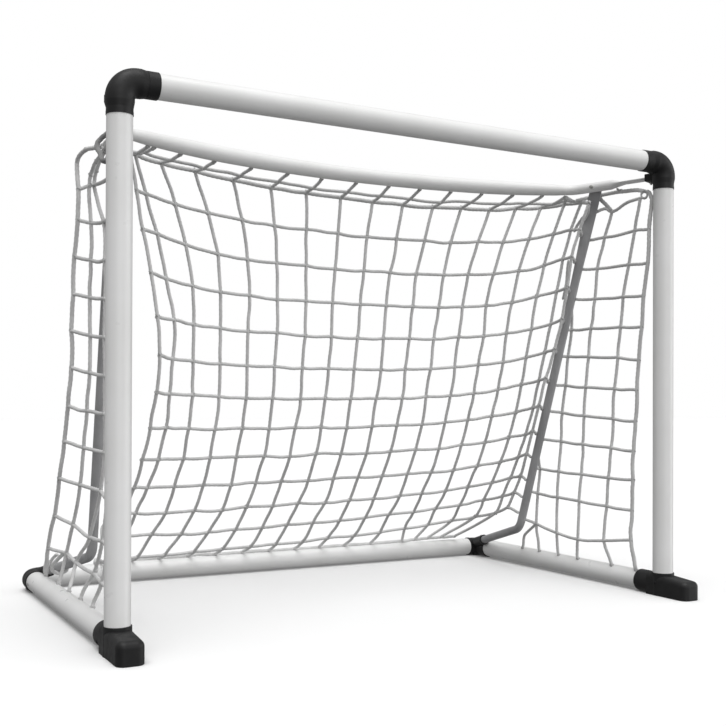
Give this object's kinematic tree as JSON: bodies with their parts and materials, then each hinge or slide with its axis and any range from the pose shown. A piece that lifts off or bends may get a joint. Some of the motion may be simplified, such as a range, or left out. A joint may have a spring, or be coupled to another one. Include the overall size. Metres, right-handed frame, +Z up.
{
  "type": "soccer goal frame",
  "caption": "Freestanding soccer goal: white tube frame with black plastic corners and feet, bowed net bar behind the crossbar, bent braces and a square-mesh net.",
  "frame": {"origin": "centre of the box on the ground, under the middle of the goal", "axes": "+X along the crossbar to the viewer's right facing the mouth, +Y from the mouth to the back of the net, +Z up"},
  "size_m": [1.8732, 1.2274, 1.4466],
  "materials": {
    "white_tube": "smooth satin white",
    "black_plastic": "moulded, lightly grained satin",
    "white_painted_tube": "satin powder coat",
    "grey_painted_tube": "satin powder coat",
    "zinc_steel": "zinc plated",
    "button_steel": "plated, worn",
    "spring_steel": "plain spring steel",
    "net_cord": "knotted grey cord"
  },
  "bodies": {
    "frame": {"left_post": "white_tube", "right_post": "white_tube", "crossbar": "white_tube", "left_ground_bar": "white_tube", "right_ground_bar": "white_tube", "rear_ground_bar": "white_tube", "top_left_elbow": "black_plastic", "top_right_elbow": "black_plastic", "left_foot": "black_plastic", "right_foot": "black_plastic", "rear_left_corner": "black_plastic", "rear_right_corner": "black_plastic", "net_bow": "white_painted_tube", "left_strut": "grey_painted_tube", "right_strut": "grey_painted_tube", "bow_end_bolts": "zinc_steel", "bow_end_nuts": "zinc_steel", "strut_top_bolts": "zinc_steel", "strut_top_washers": "zinc_steel", "strut_top_nuts": "zinc_steel", "strut_socket_screws": "zinc_steel", "snap_spring_bases": "spring_steel", "net_back": "net_cord", "net_left": "net_cord", "net_right": "net_cord"},
    "right_post_top_button": {"right_post_top_button": "button_steel"},
    "left_post_top_button": {"left_post_top_button": "button_steel"},
    "right_crossbar_button": {"right_crossbar_button": "button_steel"},
    "left_crossbar_button": {"left_crossbar_button": "button_steel"},
    "right_post_foot_button": {"right_post_foot_button": "button_steel"},
    "left_post_foot_button": {"left_post_foot_button": "button_steel"},
    "right_ground_bar_front_button": {"right_ground_bar_front_button": "button_steel"},
    "left_ground_bar_front_button": {"left_ground_bar_front_button": "button_steel"},
    "right_ground_bar_rear_button": {"right_ground_bar_rear_button": "button_steel"},
    "left_ground_bar_rear_button": {"left_ground_bar_rear_button": "button_steel"},
    "right_rear_bar_button": {"right_rear_bar_button": "button_steel"},
    "left_rear_bar_button": {"left_rear_bar_button": "button_steel"}
  },
  "joints": [
    {"name": "right_post_top_button_press", "type": "slide", "parent": "frame", "child": "right_post_top_button", "axis": [0, 1, 0], "range_m": [-0.0065, 0], "stiffness_N_per_m": 2000, "springref_m": 0.002},
    {"name": "left_post_top_button_press", "type": "slide", "parent": "frame", "child": "left_post_top_button", "axis": [0, 1, 0], "range_m": [-0.0065, 0], "stiffness_N_per_m": 2000, "springref_m": 0.002},
    {"name": "right_crossbar_button_press", "type": "slide", "parent": "frame", "child": "right_crossbar_button", "axis": [0, 1, 0], "range_m": [-0.0065, 0], "stiffness_N_per_m": 2000, "springref_m": 0.002},
    {"name": "left_crossbar_button_press", "type": "slide", "parent": "frame", "child": "left_crossbar_button", "axis": [0, 1, 0], "range_m": [-0.0065, 0], "stiffness_N_per_m": 2000, "springref_m": 0.002},
    {"name": "right_post_foot_button_press", "type": "slide", "parent": "frame", "child": "right_post_foot_button", "axis": [-1, 0, 0], "range_m": [-0.0065, 0], "stiffness_N_per_m": 2000, "springref_m": 0.002},
    {"name": "left_post_foot_button_press", "type": "slide", "parent": "frame", "child": "left_post_foot_button", "axis": [1, 0, 0], "range_m": [-0.0065, 0], "stiffness_N_per_m": 2000, "springref_m": 0.002},
    {"name": "right_ground_bar_front_button_press", "type": "slide", "parent": "frame", "child": "right_ground_bar_front_button", "axis": [0.9397, 0, -0.342], "range_m": [-0.0065, 0], "stiffness_N_per_m": 2000, "springref_m": 0.002},
    {"name": "left_ground_bar_front_button_press", "type": "slide", "parent": "frame", "child": "left_ground_bar_front_button", "axis": [-0.9397, 0, -0.342], "range_m": [-0.0065, 0], "stiffness_N_per_m": 2000, "springref_m": 0.002},
    {"name": "right_ground_bar_rear_button_press", "type": "slide", "parent": "frame", "child": "right_ground_bar_rear_button", "axis": [1, 0, 0], "range_m": [-0.0065, 0], "stiffness_N_per_m": 2000, "springref_m": 0.002},
    {"name": "left_ground_bar_rear_button_press", "type": "slide", "parent": "frame", "child": "left_ground_bar_rear_button", "axis": [-1, 0, 0], "range_m": [-0.0065, 0], "stiffness_N_per_m": 2000, "springref_m": 0.002},
    {"name": "right_rear_bar_button_press", "type": "slide", "parent": "frame", "child": "right_rear_bar_button", "axis": [0, 1, 0], "range_m": [-0.0065, 0], "stiffness_N_per_m": 2000, "springref_m": 0.002},
    {"name": "left_rear_bar_button_press", "type": "slide", "parent": "frame", "child": "left_rear_bar_button", "axis": [0, 1, 0], "range_m": [-0.0065, 0], "stiffness_N_per_m": 2000, "springref_m": 0.002}
  ]
}
